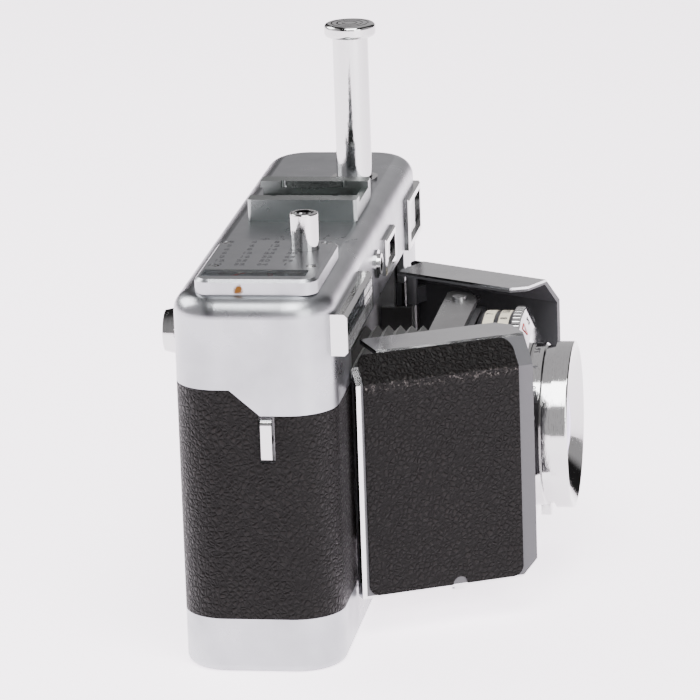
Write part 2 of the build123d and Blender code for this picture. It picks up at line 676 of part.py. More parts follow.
def door_shell(side):
    """Shallow tray: bevelled face with a rim along its top and bottom."""
    a, b = DOOR_ALONG
    tray = prism_x(door_profile(0, DOOR_RIM), a, b)
    tray -= prism_x(door_profile(DOOR_WALL, DOOR_RIM + 1), a + DOOR_WALL, b - DOOR_WALL)
    tray &= rounded_end()
    tray -= prism_x(door_profile(DOOR_WALL, DOOR_RIM + 1), b - 2 * DOOR_WALL, b + 1)
    tray -= box(-5, 3.6, -1.6, DOOR_RIM + 1, DOOR_Z[0] - 1, DOOR_Z[1] + 1)
    tray -= low_corner()
    tray += Pos(DOOR_NUB, DOOR_FACE + 1.4, DOOR_Z[0] - 0.4) * Cylinder(1.3, 0.8)
    for k0, k1 in DOOR_KNUCKLES:
        web_top = min(k1, DOOR_BEVEL_Z - 1.0)
        tray += cyl_z(0, 0, KNUCKLE_R, k0, k1)
        tray += box(-0.5, 1.2, DOOR_FACE + 0.5, -0.4, k0, web_top)
    return place_door(tray - cyl_z(0, 0, PIN_R + FIT, 0, HEIGHT), side)


def door_leather(side):
    """Leather panel let on to the face and over the bevel."""
    skin = 0.4
    rise = 0.93
    z0 = DOOR_Z[0] + 0.5
    z1 = DOOR_BEVEL_Z + rise * (DOOR_Z[1] - DOOR_BEVEL_Z)
    top = DOOR_FACE + rise * DOOR_LEAN
    section = [(DOOR_FACE, z0), (DOOR_FACE, DOOR_BEVEL_Z), (top, z1), (top - skin, z1 + 0.2),
               (DOOR_FACE - skin, DOOR_BEVEL_Z + 0.15), (DOOR_FACE - skin, z0)]
    panel = prism_x(section, -1.1, 32.3)
    outline = box(-1.1, 32.3, -20, 20, z0, z1)
    panel &= fillet(outline.edges().filter_by(Axis.Y), 2.2)
    recess = Pos(DOOR_NUB, DOOR_FACE, z0) * Rot(90, 0, 0) * Cylinder(1.6, 3)
    return place_door(panel - recess, side)


def hinge_pins():
    pin = cyl_z(-DOOR_HINGE[0], DOOR_HINGE[1], PIN_R, DOOR_KNUCKLES[0][0], DOOR_KNUCKLES[1][1])
    return both_sides(pin)


def both_sides(shape):
    """The piece and its mirror image, as two solids of one node."""
    return Compound(children=[shape.solids()[0], mirror_x(shape).solids()[0]])


# ---- lens unit ----------------------------------------------------------
def lens_board():
    board = box(-BOARD_HX, BOARD_HX, *BOARD_Y, LENS_Z - 20.5, 55.0)
    board = fillet(board.edges().filter_by(Axis.Y), 2.0)
    for side in (-1, 1):
        x0, x1 = sorted((side * 12.0, side * 30.0))
        board -= box(x0, x1, -60, 0, 53.0, 60)
    board -= cyl_y(0, LENS_Z, TUBE_R + FIT, -60, 0)
    return board


def standard_bridge():
    """Flat bar across the top of the lens board, with the link rivets."""
    y0, y1 = BRIDGE_Y
    half = BRIDGE_X
    plan = [(-half, y1 - 0.9), (-half + 0.9, y1), (half - 0.9, y1), (half, y1 - 0.9), (half, -32.8),
            (RIVET[0], y0), (-RIVET[0], y0), (-half, -32.8)]
    bar = Pos(0, 0, 55.0) * extrude(make_face(Polyline(*plan, close=True)), 1.2)
    for side in (-1, 1):
        bar += cyl_z(side * RIVET[0], RIVET[1], 0.8, 53.4, 56.2)
        bar += cyl_z(side * RIVET[0], RIVET[1], 1.5, 56.2, 56.9)
    return bar


def door_link(side):
    """Strut from the bridge towards the door; its outer end is free."""
    reach = 9.0
    link = Pos(reach / 2, 0, 54.0) * Box(reach, 3.0, 0.9)
    link += cyl_z(0, 0, 1.5, 53.55, 54.45) + cyl_z(reach, 0, 1.5, 53.55, 54.45)
    link -= cyl_z(0, 0, 0.8 + FIT, 50, 60)
    link -= cyl_z(reach, 0, 0.8, 50, 60)
    placed = Pos(-RIVET[0], RIVET[1], 0) * Rot(0, 0, 180 + 12) * link
    return placed if side < 0 else mirror_x(placed)


def bellows():
    """Pleated light-tight tunnel from the lens board to the film gate."""
    folds = 18
    y0 = BOARD_Y[1]
    y1 = GATE_Y
    outer = []
    inner = []
    for i in range(folds + 1):
        t = i / folds
        y = y0 + (y1 - y0) * t
        ridge = 1.3 if i % 2 else 0.0
        half_x = 15.6 + 4.2 * t + ridge - 1.3
        half_z = 15.6 + 1.6 * t + ridge - 1.3
        plane = Plane(origin=(0, y, LENS_Z), x_dir=(1, 0, 0), z_dir=(0, 1, 0))
        outer.append(plane * Rectangle(2 * half_x, 2 * half_z))
        inner.append(plane * Rectangle(2 * half_x - 1.0, 2 * half_z - 1.0))
    skin = loft(outer, ruled=True)
    return skin - loft(inner, ruled=True)


def shutter_housing():
    """Black shutter case with its light-tight tube through the board."""
    case = cyl_y(0, LENS_Z, SHUTTER_R, *SHUTTER_Y)
    case = chamfer(case.edges().sort_by(Axis.Y)[-1], 1.0)
    case += cyl_y(0, LENS_Z, 16.4, APERTURE_Y[2] + 0.05, SHUTTER_Y[0])
    case += cyl_y(0, LENS_Z, TUBE_R, SHUTTER_Y[1], -31.0)
    return case - cyl_y(0, LENS_Z, 11.0, -60, 0)


def speed_ring():
    """Shutter-speed ring: knurled band behind a sloping face."""
    nose, band, back = SPEED_Y
    ring = cyl_y(0, LENS_Z, SPEED_R[1], band, back)
    ring += cone_y(0, LENS_Z, SPEED_R[0], SPEED_R[1] - 0.4, nose, band)
    notch = Rot(90, 0, 0) * Cylinder(0.45, back - band - 0.3)
    for i in range(90):
        where = Pos(SPEED_R[1], (back + band) / 2 + 0.2, 0)
        ring -= Pos(0, 0, LENS_Z) * Rot(0, 4 * i, 0) * where * notch
    return ring - cyl_y(0, LENS_Z, 16.4 + FIT, -60, 0)


def aperture_ring():
    """Front setting ring in two steps, with a finger tab below."""
    front, step, back = APERTURE_Y
    ring = cyl_y(0, LENS_Z, BARREL_R, step, back)
    ring = chamfer(ring.edges().sort_by(Axis.Y)[0], 0.35)
    ring += cyl_y(0, LENS_Z, BARREL_R - 0.45, front, step)
    ring += box(-1.6, 1.6, step - 0.2, back - 1.1, LENS_Z - 19.4, LENS_Z - BARREL_R + 0.5)
    return ring - cyl_y(0, LENS_Z, 15.0 + FIT, -60, 0)


def lens_barrel():
    """Front barrel that carries the glass; the setting ring turns on it."""
    back = APERTURE_Y[2] + 0.05
    barrel = cyl_y(0, LENS_Z, 15.0, RIM_Y[1], back)
    barrel += cyl_y(0, LENS_Z, 10.9, back, SHUTTER_Y[1] + 3.0)
    barrel -= cyl_y(0, LENS_Z, 9.4, -60, 0)
    return barrel


def front_rim():
    """Filter rim: bright ring, funnel-shaped inside."""
    rim = cyl_y(0, LENS_Z, RIM_R, *RIM_Y)
    rim = fillet(rim.edges().sort_by(Axis.Y)[0], 0.4)
    rim -= cone_y(0, LENS_Z, 16.6, 12.2, RIM_Y[0] - 0.01, RIM_Y[1] - 0.9)
    return rim - cyl_y(0, LENS_Z, 11.6, -60, 0)


def lens_elements():
    """Domed front glass and the rear glass."""
    dome = Pos(0, RIM_Y[1] - 2.4 + 30.0, LENS_Z) * Sphere(30.0)
    front = dome & cyl_y(0, LENS_Z, 11.6, RIM_Y[1] - 3.0, RIM_Y[1])
    rear = cyl_y(0, LENS_Z, 9.4, SHUTTER_Y[1] - 2.0, SHUTTER_Y[1] + 1.0)
    return Compound(children=[front.solids()[0], rear])


def iris_leaves():
    """Closed-down iris: a thin stack of leaves with the aperture in the middle."""
    return cyl_y(0, LENS_Z, 9.4, -45.4, -44.8) - cyl_y(0, LENS_Z, 3.2, -60, 0)


def build():
    os.makedirs(PARTS, exist_ok=True)
    save("back_shell", back_shell())
    save("body_leather", body_leather())
    save("base_tray", base_tray())
    save("tripod_bush", tripod_bush())
    save("rewind_knob", rewind_knob())
    save("rewind_shaft", rewind_shaft())
    save("lock_key", lock_key())
    save("counter_dial", counter_dial())
    save("pressure_plate", pressure_plate())
    save("chassis_frame", chassis_frame())
    save("film_gate", film_gate())
    save("takeup_spool", takeup_spool())
    save("sprocket_shaft", sprocket_shaft())
    save("top_housing", top_housing())
    save("meter_plate", meter_plate())
    save("meter_plate_screws", screw_group(PLATE_SCREWS, HEIGHT + PLATE_H - 0.1, 1.1, 0.45, 3.6))
    save("meter_window_glass", meter_window_glass())
    save("meter_scale_card", meter_scale_card())
    save("galvanometer", galvanometer())
    save("meter_needle", meter_needle())
    save("meter_window_frame", meter_window_frame())
    save("meter_honeycomb_glass", meter_honeycomb_glass())
    save("selenium_cell", selenium_cell())
    save("release_button", release_button())
    save("release_spring", release_spring())
    save("plunger_rod", plunger_rod())
    save("plunger_cap", plunger_cap())
    save("plunger_guide", plunger_guide())
    save("accessory_shoe", accessory_shoe())
    save("shoe_spring", shoe_spring())
    save("shoe_screws", screw_group(SHOE_SCREWS, HEIGHT + 1.35, 1.1, 0.45, 1.9))
    save("viewfinder_frame", window_frame(FINDER_X, FINDER_Z, FINDER_BORDER))
    save("viewfinder_glass", window_pane(FINDER_X, FINDER_Z, FINDER_BORDER))
    save("rangefinder_frame", window_frame(RANGE_X, RANGE_Z, RANGE_BORDER))
    save("rangefinder_glass", window_pane(RANGE_X, RANGE_Z, RANGE_BORDER))
    save("finder_tube", finder_tube())
    save("finder_mirrors", finder_mirrors())
    save("eyepiece", eyepiece())
    save("eyepiece_lens", eyepiece_lens())
    save("sync_socket", sync_socket())
    save("focus_wheel", focus_wheel())
    save("strap_lugs", strap_lugs())
    save("hinge_brackets", hinge_brackets())
    save("hinge_pins", hinge_pins())
    for side, word in ((-1, "near"), (1, "far")):
        save("door_shell_" + word, door_shell(side))
        save("door_leather_" + word, door_leather(side))
        save("door_link_" + word, door_link(side))
    save("lens_board", lens_board())
    save("standard_bridge", standard_bridge())
    save("bellows", bellows())
    save("shutter_housing", shutter_housing())
    save("speed_ring", speed_ring())
    save("aperture_ring", aperture_ring())
    save("lens_barrel", lens_barrel())
    save("front_rim", front_rim())
    save("lens_elements", lens_elements())
    save("iris_leaves", iris_leaves())


build()
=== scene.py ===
import json
import math

import bmesh
import bpy
from mathutils import Matrix, Vector


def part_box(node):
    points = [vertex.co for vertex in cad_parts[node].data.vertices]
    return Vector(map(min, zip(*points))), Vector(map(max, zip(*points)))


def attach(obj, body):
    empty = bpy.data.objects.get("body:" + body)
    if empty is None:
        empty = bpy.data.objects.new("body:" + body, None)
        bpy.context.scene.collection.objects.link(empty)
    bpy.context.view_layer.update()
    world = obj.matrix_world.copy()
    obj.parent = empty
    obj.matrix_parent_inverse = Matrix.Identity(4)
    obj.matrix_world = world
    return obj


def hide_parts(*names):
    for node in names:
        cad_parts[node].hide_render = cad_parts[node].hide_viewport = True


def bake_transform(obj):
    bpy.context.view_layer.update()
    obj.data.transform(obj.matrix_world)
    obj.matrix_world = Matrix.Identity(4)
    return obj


# Looks of a folding 35 mm camera with a selenium meter. Metres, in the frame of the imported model:
# +Z up, +X along the width, the lens looks towards -Y.

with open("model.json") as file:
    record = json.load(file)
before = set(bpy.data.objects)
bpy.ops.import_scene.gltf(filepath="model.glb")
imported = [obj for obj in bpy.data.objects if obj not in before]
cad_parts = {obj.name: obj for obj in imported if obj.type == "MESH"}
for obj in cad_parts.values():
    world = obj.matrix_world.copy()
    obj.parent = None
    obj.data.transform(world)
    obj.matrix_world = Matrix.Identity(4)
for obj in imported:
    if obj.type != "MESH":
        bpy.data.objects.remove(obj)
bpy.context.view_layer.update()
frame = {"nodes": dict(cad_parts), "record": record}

JOINTS = {joint["name"]: joint for joint in frame["record"]["behaviour"]["joints"]}
HINGE_X, HINGE_Y = JOINTS["door_near_swing"]["pos_m"][:2]
DOOR_HINGE = (abs(HINGE_X), HINGE_Y)
DOOR_TOE = math.radians(28.0)
DOOR_BEVEL_Z = 0.0534        # the door face leans inwards above this
DOOR_BEVEL_SLOPE = 0.909     # how far it leans for each unit of height
LINING_DEPTH = -0.0039       # the lacquer starts here, measured inwards from the hinge axis
LINING_Z = (0.0090, 0.0584)
LENS_Z = JOINTS["speed_turn"]["pos_m"][2]
SPEED_FACE_TILT = math.atan2(0.0240 - 0.0202, 0.0016)    # sloping face of the speed ring
LIFT = 0.00003               # marks float this far over their surface


# ---- node-material helpers ----------------------------------------------
class Nodes:
    """Small wrapper that adds and links shader nodes."""

    def __init__(self, name):
        self.mat = bpy.data.materials.new(name)
        self.mat.use_nodes = True
        self.tree = self.mat.node_tree
        self.bsdf = self.tree.nodes["Principled BSDF"]
        self.coords = self.tree.nodes.new("ShaderNodeTexCoord").outputs["Object"]

    def add(self, kind, **values):
        node = self.tree.nodes.new("ShaderNode" + kind)
        for key, value in values.items():
            if key in node.inputs:
                node.inputs[key].default_value = value
            else:
                setattr(node, key, value)
        return node

    def link(self, a, b):
        self.tree.links.new(a, b)

    def noise(self, scale, detail=4.0, rough=0.55, vector=None):
        node = self.add("TexNoise")
        node.inputs["Scale"].default_value = scale
        node.inputs["Detail"].default_value = detail
        node.inputs["Roughness"].default_value = rough
        self.link(vector or self.coords, node.inputs["Vector"])
        return node.outputs["Fac"]

    def ramp(self, source, stops):
        node = self.add("ValToRGB")
        while len(node.color_ramp.elements) < len(stops):
            node.color_ramp.elements.new(0.5)
        for element, (place, colour) in zip(node.color_ramp.elements, stops):
            element.position = place
            element.color = (*colour, 1.0) if len(colour) == 3 else colour
        self.link(source, node.inputs["Fac"])
        return node.outputs["Color"]

    def span(self, source, low, high, new_low, new_high):
        node = self.add("MapRange")
        for key, value in zip(("From Min", "From Max", "To Min", "To Max"), (low, high, new_low, new_high)):
            node.inputs[key].default_value = value
        self.link(source, node.inputs["Value"])
        return node.outputs["Result"]

    def math(self, operation, a, b):
        node = self.add("Math", operation=operation)
        for socket, value in zip(node.inputs, (a, b)):
            if isinstance(value, (int, float)):
                socket.default_value = value
            else:
                self.link(value, socket)
        return node.outputs["Value"]

    def mix(self, factor, a, b):
        node = self.add("Mix", data_type="RGBA")
        for socket, value in ((node.inputs["Factor"], factor), (node.inputs[6], a), (node.inputs[7], b)):
            if isinstance(value, tuple):
                socket.default_value = (*value, 1.0)
            elif isinstance(value, (int, float)):
                socket.default_value = value
            else:
                self.link(value, socket)
        return node.outputs[2]

    def bump(self, height, strength, distance, normal=None):
        node = self.add("Bump", Strength=strength, Distance=distance)
        self.link(height, node.inputs["Height"])
        if normal is not None:
            self.link(normal, node.inputs["Normal"])
        return node.outputs["Normal"]

    def finish(self, colour=None, rough=None, metallic=0.0, normal=None, **sockets):
        for name, value in (("Base Color", colour), ("Roughness", rough), ("Normal", normal)):
            if value is None:
                continue
            if isinstance(value, tuple):
                self.bsdf.inputs[name].default_value = (*value, 1.0)
            elif isinstance(value, (int, float)):
                self.bsdf.inputs[name].default_value = value
            else:
                self.link(value, self.bsdf.inputs[name])
        self.bsdf.inputs["Metallic"].default_value = metallic
        for name, value in sockets.items():
            self.bsdf.inputs[name.replace("_", " ")].default_value = value
        return self.mat


def satin_chrome(name, tone=(0.40, 0.41, 0.43), rough=0.30, grain=0.6, blemish=None):
    """Blasted and plated metal: fine matt grain, faint clouds and a few dark specks."""
    n = Nodes(name)
    clouds = n.noise(90.0, 3.0)
    specks = n.noise(900.0, 2.0, 0.7)
    base = n.mix(n.span(clouds, 0.35, 0.7, 0.0, 1.0), tone, tuple(0.86 * c for c in tone))
    dark = n.span(specks, 0.70, 0.80, 0.0, 0.55)
    base = n.mix(dark, base, (0.16, 0.15, 0.14))
    if blemish is not None:
        away = n.add("VectorMath", operation="DISTANCE")
        n.link(n.coords, away.inputs[0])
        away.inputs[1].default_value = blemish
        ragged = n.math("ADD", away.outputs["Value"], n.math("MULTIPLY", n.noise(1400.0, 3.0), -0.0012))
        base = n.mix(n.span(ragged, 0.0001, 0.0006, 1.0, 0.0), base, (0.10, 0.045, 0.012))
    fine = n.noise(5200.0, 2.0, 0.6)
    coarse = n.noise(1700.0, 3.0, 0.6)
    height = n.math("ADD", n.math("MULTIPLY", fine, 0.5), n.math("MULTIPLY", coarse, 0.5))
    roughness = n.span(clouds, 0.3, 0.7, rough - 0.05, rough + 0.07)
    normal = n.bump(height, grain, 0.00003)
    return n.finish(base, roughness, 1.0, normal)


def bright_chrome(name, tone=(0.55, 0.55, 0.55), rough=0.05, scratch=0.2):
    """Polished plate with hairline scratches and hazy patches."""
    n = Nodes(name)
    haze = n.noise(160.0, 4.0, 0.65)
    mapping = n.add("Mapping")
    mapping.inputs["Scale"].default_value = (900.0, 5200.0, 600.0)
    mapping.inputs["Rotation"].default_value = (0.3, 0.5, 0.8)
    n.link(n.coords, mapping.inputs["Vector"])
    lines = n.noise(1.0, 2.0, 0.7, mapping.outputs["Vector"])
    pits = n.span(n.noise(1500.0, 2.0, 0.75), 0.68, 0.78, 0.0, 0.7)
    base = n.mix(pits, tone, (0.30, 0.26, 0.22))
    roughness = n.span(haze, 0.4, 0.75, rough, rough + 0.09)
    normal = n.bump(n.span(lines, 0.55, 0.75, 0.0, 1.0), scratch, 0.00002)
    return n.finish(base, roughness, 1.0, normal)


def pebble_leather(name, tone=(0.0040, 0.0030, 0.0028), cell=1000.0, crease=None):
    """Fine irregular pebbled hide: small rounded cells, with painted shade in the valleys and a painted
    highlight on the cell tops.
    """
    n = Nodes(name)
    drift = n.add("TexNoise", Scale=520.0, Detail=3.0)
    n.link(n.coords, drift.inputs["Vector"])
    offset = n.add("VectorMath", operation="SCALE", Scale=0.0011)
    n.link(drift.outputs["Color"], offset.inputs[0])
    moved = n.add("VectorMath", operation="ADD")
    n.link(n.coords, moved.inputs[0])
    n.link(offset.outputs["Vector"], moved.inputs[1])
    edges = n.add("TexVoronoi", feature="DISTANCE_TO_EDGE", Scale=cell)
    n.link(moved.outputs["Vector"], edges.inputs["Vector"])
    valley = n.span(edges.outputs["Distance"], 0.0, 0.30, 0.0, 1.0)
    swell = n.noise(900.0, 3.0, 0.6, moved.outputs["Vector"])
    grit = n.noise(5200.0, 3.0, 0.6)
    height = n.math("ADD", n.math("MULTIPLY", valley, 0.6), n.math("MULTIPLY", swell, 0.7))
    height = n.math("ADD", height, n.math("MULTIPLY", grit, 0.12))
    top = n.span(height, 0.70, 1.15, 0.0, 1.0)
    patches = n.span(n.noise(60.0, 4.0), 0.35, 0.7, 0.4, 1.0)
    # painted highlight on the cell tops and painted shade in the valleys, varied in patches
    painted_highlight_and_shade = n.math("MULTIPLY", top, patches)
    base = n.mix(painted_highlight_and_shade, tuple(0.45 * c for c in tone), tuple(1.9 * c for c in tone))
    if crease is not None:
        split = n.add("SeparateXYZ")
        n.link(moved.outputs["Vector"], split.inputs["Vector"])
        height_off = n.math("SUBTRACT", split.outputs["Z"], crease)
        off = n.math("ABSOLUTE", height_off, 0.0)
        band = n.span(off, 0.0003, 0.0013, 1.0, 0.0)
        scuffs = n.span(n.noise(1500.0, 3.0, 0.7), 0.55, 0.70, 0.0, 0.5)
        base = n.mix(n.math("MULTIPLY", band, scuffs), base, (0.20, 0.18, 0.17))
    roughness = n.span(top, 0.0, 1.0, 0.50, 0.30)
    normal = n.bump(height, 1.0, 0.00026)
    return n.finish(base, roughness, 0.0, normal, Specular_IOR_Level=0.13)


def enamel(name, tone=(0.018, 0.018, 0.02), rough=0.32, grain=0.25):
    """Black or grey lacquer with orange-peel and dust."""
    n = Nodes(name)
    dust = n.span(n.noise(1300.0, 3.0, 0.7), 0.62, 0.85, 0.0, 0.35)
    clouds = n.noise(120.0, 3.0)
    base = n.mix(dust, tone, tuple(min(1.0, 3.0 * c + 0.03) for c in tone))
    roughness = n.span(clouds, 0.3, 0.7, rough - 0.06, rough + 0.12)
    normal = n.bump(n.noise(2600.0, 2.0), grain, 0.00002)
    return n.finish(base, roughness, 0.0, normal)


def door_metal(name):
    """Polished plate outside and on the rims, dark grey lacquer inside the tray."""
    n = Nodes(name)
    split = n.add("SeparateXYZ")
    n.link(n.coords, split.inputs["Vector"])
    across = n.math("SUBTRACT", n.math("ABSOLUTE", split.outputs["X"], 0.0), DOOR_HINGE[0])
    inward = n.math("SUBTRACT", split.outputs["Y"], DOOR_HINGE[1])
    depth = n.math("ADD", n.math("MULTIPLY", across, -math.cos(DOOR_TOE)),
                   n.math("MULTIPLY", inward, -math.sin(DOOR_TOE)))
    above = n.math("MAXIMUM", n.math("SUBTRACT", split.outputs["Z"], DOOR_BEVEL_Z), 0.0)
    lean = n.math("MULTIPLY", above, DOOR_BEVEL_SLOPE)
    lined = n.math("GREATER_THAN", n.math("SUBTRACT", depth, lean), LINING_DEPTH)
    low = n.math("GREATER_THAN", split.outputs["Z"], LINING_Z[0])
    high = n.math("LESS_THAN", split.outputs["Z"], LINING_Z[1])
    lined = n.math("MULTIPLY", lined, n.math("MULTIPLY", low, high))
    haze = n.noise(160.0, 4.0, 0.65)
    pits = n.span(n.noise(1500.0, 2.0, 0.75), 0.68, 0.78, 0.0, 0.7)
    plate = n.mix(pits, (0.60, 0.60, 0.61), (0.30, 0.26, 0.22))
    dust = n.span(n.noise(1300.0, 3.0, 0.7), 0.62, 0.85, 0.0, 0.35)
    paint = n.mix(dust, (0.055, 0.055, 0.060), (0.14, 0.13, 0.12))
    base = n.mix(lined, plate, paint)
    roughness = n.math("ADD", n.span(haze, 0.4, 0.75, 0.12, 0.26), n.math("MULTIPLY", lined, 0.25))
    normal = n.bump(n.noise(2600.0, 2.0), 0.25, 0.00002)
    mat = n.finish(base, roughness, 0.0, normal)
    n.link(n.math("SUBTRACT", 1.0, lined), n.bsdf.inputs["Metallic"])
    return mat


def cast_metal(name, tone=(0.42, 0.42, 0.43)):
    """Matt casting with a coarse skin."""
    n = Nodes(name)
    clouds = n.noise(200.0, 4.0)
    base = n.mix(n.span(clouds, 0.3, 0.7, 0.0, 1.0), tone, tuple(0.7 * c for c in tone))
    normal = n.bump(n.noise(1900.0, 4.0, 0.7), 0.6, 0.00006)
    return n.finish(base, 0.48, 1.0, normal)


def clear_glass(name, tint=(0.93, 0.97, 0.98), rough=0.02):
    """Clear glass with faint smears."""
    n = Nodes(name)
    smear = n.span(n.noise(240.0, 4.0, 0.7), 0.4, 0.8, rough, rough + 0.06)
    return n.finish(tint, smear, 0.0, None, Transmission_Weight=1.0, IOR=1.5)


def coated_lens(name):
    """Dark glass that reads as deep behind a violet-blue coating."""
    n = Nodes(name)
    smear = n.span(n.noise(300.0, 4.0, 0.7), 0.4, 0.8, 0.015, 0.05)
    mat = n.finish((0.012, 0.010, 0.022), smear, 0.0, None, IOR=1.9)
    n.bsdf.inputs["Coat Weight"].default_value = 1.0
    n.bsdf.inputs["Coat Roughness"].default_value = 0.02
    n.bsdf.inputs["Coat Tint"].default_value = (0.70, 0.62, 1.0, 1.0)
    return mat


def bellows_cloth(name):
    """Matt black cloth with a fine weave."""
    n = Nodes(name)
    weave = n.noise(3800.0, 3.0, 0.6)
    dusty = n.span(n.noise(180.0, 3.0), 0.3, 0.7, 0.0, 1.0)
    base = n.mix(dusty, (0.020, 0.019, 0.019), (0.045, 0.042, 0.040))
    return n.finish(base, 0.78, 0.0, n.bump(weave, 0.6, 0.00005), Sheen_Weight=0.25)


def printed(name, tone):
    """Printed or painted marks and cards, slightly faded."""
    n = Nodes(name)
    fade = n.span(n.noise(700.0, 3.0), 0.35, 0.75, 0.0, 1.0)
    base = n.mix(fade, tone, tuple(min(1.0, 0.8 * c + 0.03) for c in tone))
    return n.finish(base, 0.55, 0.0, n.bump(n.noise(3000.0), 0.2, 0.00001))


MATERIALS = {
    "satin_chrome": satin_chrome("satin_chrome"),
    "bright_chrome": bright_chrome("bright_chrome"),
    "door_metal": door_metal("door_metal"),
    "leather": pebble_leather("leather"),
    "bellows_cloth": bellows_cloth("bellows_cloth"),
    "black_enamel": enamel("black_enamel"),
    "cast_alloy": cast_metal("cast_alloy"),
    "shoe_metal": satin_chrome("shoe_metal", (0.24, 0.26, 0.255), 0.30, 0.7),
    "steel": satin_chrome("steel", (0.38, 0.38, 0.38), 0.30, 0.25),
    "glass": clear_glass("glass"),
    "mirror_glass": bright_chrome("mirror_glass", (0.85, 0.87, 0.88), 0.03, 0.05),
    "selenium": enamel("selenium", (0.030, 0.026, 0.034), 0.25, 0.3),
    "scale_card": printed("scale_card", (0.80, 0.74, 0.58)),
    "needle_red": printed("needle_red", (0.45, 0.03, 0.02)),
}


def dress_cad():
    """Every CAD node gets the material of its slot, or its own variant of it."""
    slots = {entry["node"]: entry["material_slot"] for entry in frame["record"]["subparts"]}
    hide = pebble_leather("door_hide", crease=DOOR_BEVEL_Z)
    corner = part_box("meter_plate")[0]
    stain = (corner[0] + 0.0003, corner[1] + 0.0154, corner[2] + 0.0011)
    special = {
        "lens_elements": coated_lens("coated_lens"),
        "meter_plate": satin_chrome("plate_metal", blemish=stain),
        "door_leather_near": hide,
        "door_leather_far": hide,
    }
    for node, piece in frame["nodes"].items():
        material = special.get(node, MATERIALS[slots[node]])
        for slot in piece.material_slots:
            slot.material = material
        if not piece.material_slots:
            piece.data.materials.append(material)


dress_cad()


# ---- small pieces -------------------------------------------------------
def piece(name, bm, material, body, slot):
    """Turns a bmesh into a piece that rides a body and carries the given material; the slot argument is not
    used.
    """
    mesh = bpy.data.meshes.new(name)
    bm.to_mesh(mesh)
    bm.free()
    mesh.materials.append(material)
    thing = bpy.data.objects.new(name, mesh)
    bpy.context.collection.objects.link(thing)
    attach(thing, body)
    return thing


def glyph_mesh(text, size, thick):
    """A short generic number as a thin solid, centred on the origin in XY."""
    curve = bpy.data.curves.new("glyph", "FONT")
    curve.body = text
    curve.size = size
    curve.align_x = "CENTER"
    curve.align_y = "CENTER"
    curve.extrude = thick / 2
    curve.offset = size * 0.012
    curve.resolution_u = 2
    thing = bpy.data.objects.new("glyph", curve)
    bpy.context.collection.objects.link(thing)
    bpy.context.view_layer.update()
    mesh = bpy.data.meshes.new_from_object(thing.evaluated_get(bpy.context.evaluated_depsgraph_get()))
    bpy.data.objects.remove(thing)
    bpy.data.curves.remove(curve)
    return mesh


def numbers(name, entries, material, body, slot, thick=0.00004):
    """entries: (text, size, matrix). All numbers become one piece."""
    bm = bmesh.new()
    for text, size, matrix in entries:
        mesh = glyph_mesh(text, size, thick)
        mesh.transform(matrix)
        bm.from_mesh(mesh)
        bpy.data.meshes.remove(mesh)
    return piece(name, bm, material, body, slot)


def add_block(bm, matrix, size):
    """A small bevelled bar; sizes are full lengths."""
    part = bmesh.new()
    bmesh.ops.create_cube(part, size=1.0, matrix=Matrix.Diagonal((*size, 1.0)))
    bmesh.ops.bevel(part, geom=part.edges[:], offset=min(size) * 0.25, segments=2, affect="EDGES")
    mesh = bpy.data.meshes.new("bar")
    part.to_mesh(mesh)
    part.free()
    mesh.transform(matrix)
    bm.from_mesh(mesh)
    bpy.data.meshes.remove(mesh)


def ring_strip(bm, radius, ys, angles, thick, steps=40):
    """A thin curved plate round the lens axis; angles from straight up, turning towards +X."""
    rows = []
    for i in range(steps + 1):
        a = math.radians(angles[0] + (angles[1] - angles[0]) * i / steps)
        ring = []
        for r in (radius, radius + thick):
            for y in ys:
                ring.append(bm.verts.new((r * math.sin(a), y, LENS_Z + r * math.cos(a))))
        rows.append(ring)
    for a, b in zip(rows, rows[1:]):
        for i, j in ((0, 1), (1, 3), (3, 2), (2, 0)):
            bm.faces.new((a[i], a[j], b[j], b[i]))
    bm.faces.new((rows[0][0], rows[0][2], rows[0][3], rows[0][1]))
    bm.faces.new((rows[-1][0], rows[-1][1], rows[-1][3], rows[-1][2]))
    bmesh.ops.recalc_face_normals(bm, faces=bm.faces[:])


def on_drum(radius, y, angle):
    """Frame lying on the lens barrel: glyph X runs round the barrel, glyph Y along it."""
    a = math.radians(angle)
    out = Vector((math.sin(a), 0.0, math.cos(a)))
    round_ = Vector((math.cos(a), 0.0, -math.sin(a)))
    along = out.cross(round_)
    base = Matrix((round_, along, out)).transposed().to_4x4()
    return Matrix.Translation(Vector((0, y, LENS_Z)) + radius * out) @ base


def meter_table():
    """Table of plain numbers on the meter plate, upright when seen from the -X end."""
    right, rear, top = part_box("meter_plate")[1]
    rows = (("2", "4", "8", "16"), ("3", "6", "12", "25"), ("4", "8", "16", "32"),
            ("6", "12", "25", "50"), ("8", "16", "32", "64"), ("12", "25", "50", "99"),
            ("16", "32", "64", "1"))
    upright = Matrix.Rotation(-math.pi / 2, 4, "Z")
    entries = []
    for i, row in enumerate(rows):
        for j, text in enumerate(row):
            place = Vector((right - 0.0022 - 0.0030 * i, rear - 0.0028 - 0.0046 * j, top + LIFT))
            entries.append((text, 0.0023, Matrix.Translation(place) @ upright))
    numbers("meter_table", entries, INK, "chassis", "black_enamel")


